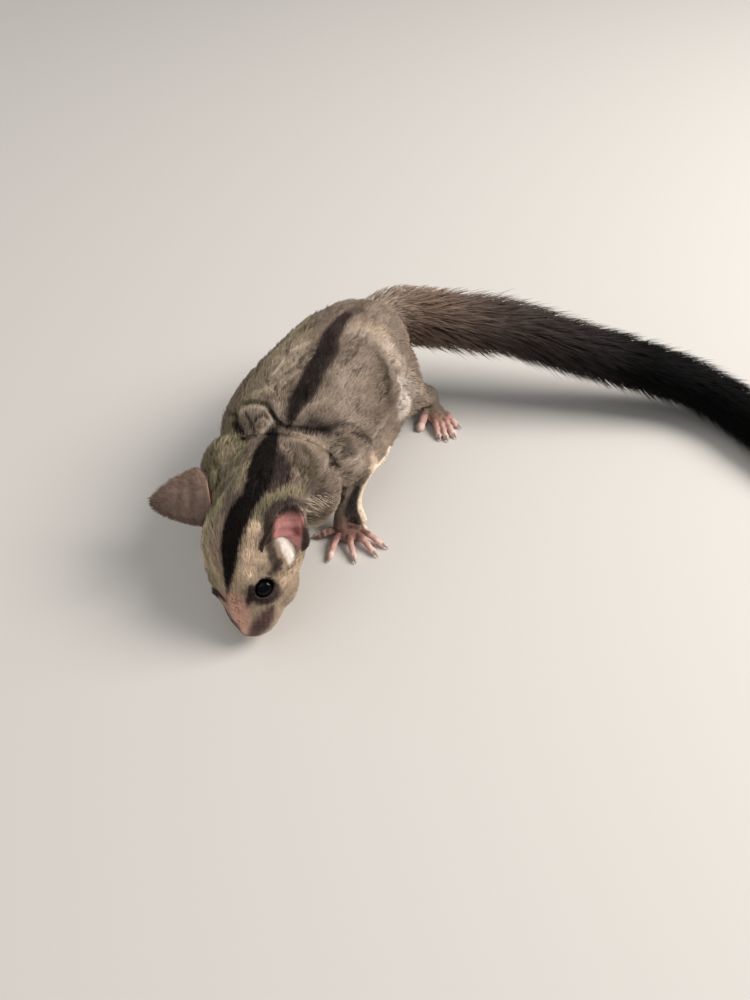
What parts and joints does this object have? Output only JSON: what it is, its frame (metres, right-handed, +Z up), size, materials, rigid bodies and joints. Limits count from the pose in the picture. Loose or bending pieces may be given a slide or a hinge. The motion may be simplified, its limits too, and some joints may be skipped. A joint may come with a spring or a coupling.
{
  "type": "sugar glider",
  "caption": "Sugar glider standing with its head lowered, loose gliding membranes folded along its flanks and a long bushy tail swept to its left.",
  "frame": {"origin": "on the floor, under the centre of the bounding box", "axes": "+Z up, -Y the way the animal faces, +X towards its left side, where the tail lies"},
  "size_m": [0.2276, 0.13, 0.0551],
  "materials": {
    "grey_fur": "short dense grey-brown fur with a dark stripe along the back, matte",
    "face_fur": "very short tan and grey fur with dark markings, matte",
    "tail_fur": "long soft bushy hair, brown at the root and near black towards the tip",
    "pink_skin": "bare pink skin, slightly moist sheen",
    "eye": "wet, near black"
  },
  "bodies": {
    "root": {"head": "face_fur", "neck": "grey_fur", "torso": "grey_fur", "eye_left": "eye", "eye_right": "eye", "ear_left": "pink_skin", "ear_right": "pink_skin", "foreleg_left": "grey_fur", "foreleg_right": "grey_fur", "hand_left": "pink_skin", "hand_right": "pink_skin", "hindleg_left": "grey_fur", "hindleg_right": "grey_fur", "foot_left": "pink_skin", "foot_right": "pink_skin", "membrane_left": "grey_fur", "membrane_right": "grey_fur", "tail_root": "tail_fur", "tail_middle": "tail_fur", "tail_tip": "tail_fur"}
  },
  "joints": []
}
